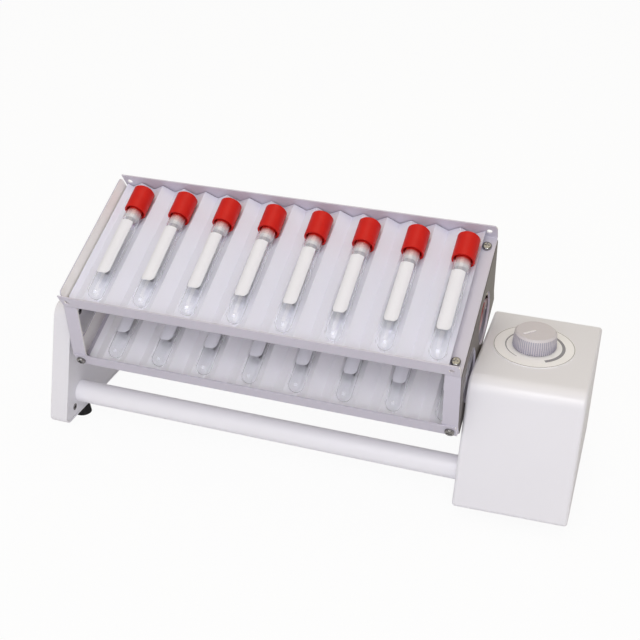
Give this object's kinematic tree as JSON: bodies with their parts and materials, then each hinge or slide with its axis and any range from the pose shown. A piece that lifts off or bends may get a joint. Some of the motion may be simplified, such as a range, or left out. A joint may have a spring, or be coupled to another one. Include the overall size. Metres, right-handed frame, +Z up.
{
  "type": "tube rotator",
  "caption": "Two-tier rocking tube rotator: grooved trays of capped sample tubes swing between an end bracket and a drive box with a speed knob.",
  "frame": {"origin": "bottom centre of the whole machine, on the surface it stands on", "axes": "+X along the machine from the end bracket to the drive box, +Y to the back, +Z up"},
  "size_m": [0.4124, 0.1366, 0.1847],
  "materials": {
    "tray_sheet": "pale satin paint on folded sheet",
    "insert_plastic": "thin folded white sheet",
    "glass": "clear",
    "red_stopper": "moulded red",
    "label_paper": "plain paper",
    "bright_steel": "bright",
    "housing_paint": "off-white",
    "housing_plastic": "off-white, smooth",
    "drive_steel": "plated",
    "motor_steel": "plated",
    "gear_plastic": "natural acetal",
    "bush_bronze": "sintered bronze",
    "foot_rubber": "black",
    "board_green": "circuit board",
    "black_plastic": "black",
    "standoff_nylon": "nylon",
    "knob_plastic": "pale grey",
    "dial_face": "off-white with a grey ring and scale"
  },
  "bodies": {
    "base": {"left_bush": "bush_bronze", "drive_bushes": "bush_bronze", "left_bracket_shell": "housing_paint", "left_bracket_cover": "housing_paint", "bracket_cover_screws": "bright_steel", "tie_rod": "housing_paint", "tie_rod_plugs": "standoff_nylon", "tie_rod_screws": "bright_steel", "control_box_shell": "housing_plastic", "rubber_feet": "foot_rubber", "base_plate_screws": "bright_steel", "drive_bracket": "drive_steel", "gear_motor": "motor_steel", "circuit_board": "board_green", "board_standoffs": "standoff_nylon", "chassis_screws": "bright_steel", "base_plate": "drive_steel", "dial_plate": "dial_face", "speed_potentiometer": "black_plastic", "potentiometer_nut": "bright_steel", "power_inlet": "black_plastic", "power_switch": "black_plastic"},
    "rotor": {"upper_tray": "tray_sheet", "lower_tray": "tray_sheet", "upper_insert": "insert_plastic", "lower_insert": "insert_plastic", "left_end_plate": "tray_sheet", "right_end_plate": "tray_sheet", "tray_screws": "bright_steel", "tray_nuts": "bright_steel", "left_shaft": "bright_steel", "right_shaft": "bright_steel", "hub_screws": "bright_steel", "drive_sector": "gear_plastic", "upper_stoppers": "red_stopper", "lower_stoppers": "red_stopper", "tube_labels": "label_paper", "upper_tube_1": "glass", "upper_tube_2": "glass", "upper_tube_3": "glass", "upper_tube_4": "glass", "upper_tube_5": "glass", "upper_tube_6": "glass", "upper_tube_7": "glass", "upper_tube_8": "glass", "lower_tube_1": "glass", "lower_tube_2": "glass", "lower_tube_3": "glass", "lower_tube_4": "glass", "lower_tube_5": "glass", "lower_tube_6": "glass", "lower_tube_7": "glass", "lower_tube_8": "glass"},
    "pinion": {"drive_pinion": "gear_plastic", "motor_shaft": "bright_steel"},
    "knob": {"speed_knob": "knob_plastic", "potentiometer_shaft": "bright_steel"},
    "rocker": {"switch_rocker": "black_plastic"}
  },
  "joints": [
    {"name": "tray_rocking", "type": "hinge", "parent": "base", "child": "rotor", "pos_m": [-0.18395, 0.00439, 0.0876], "axis": [1, 0, 0], "range_deg": [-56, 4]},
    {"name": "pinion_spin", "type": "hinge", "parent": "base", "child": "pinion", "pos_m": [0.13555, 0.00439, 0.0476], "axis": [1, 0, 0], "range_deg": [-17.8, 196.9]},
    {"name": "speed_turn", "type": "hinge", "parent": "base", "child": "knob", "pos_m": [0.16125, 0.01758, 0.10585], "axis": [0, 0, 1], "range_deg": [-280, 0]},
    {"name": "power_rocker", "type": "hinge", "parent": "base", "child": "rocker", "pos_m": [0.15005, 0.06344, 0.036], "axis": [1, 0, 0], "range_deg": [-20, 0]}
  ],
  "couplings": [
    {"joint": "pinion_spin", "follows": "tray_rocking", "ratio": -3.4444}
  ]
}
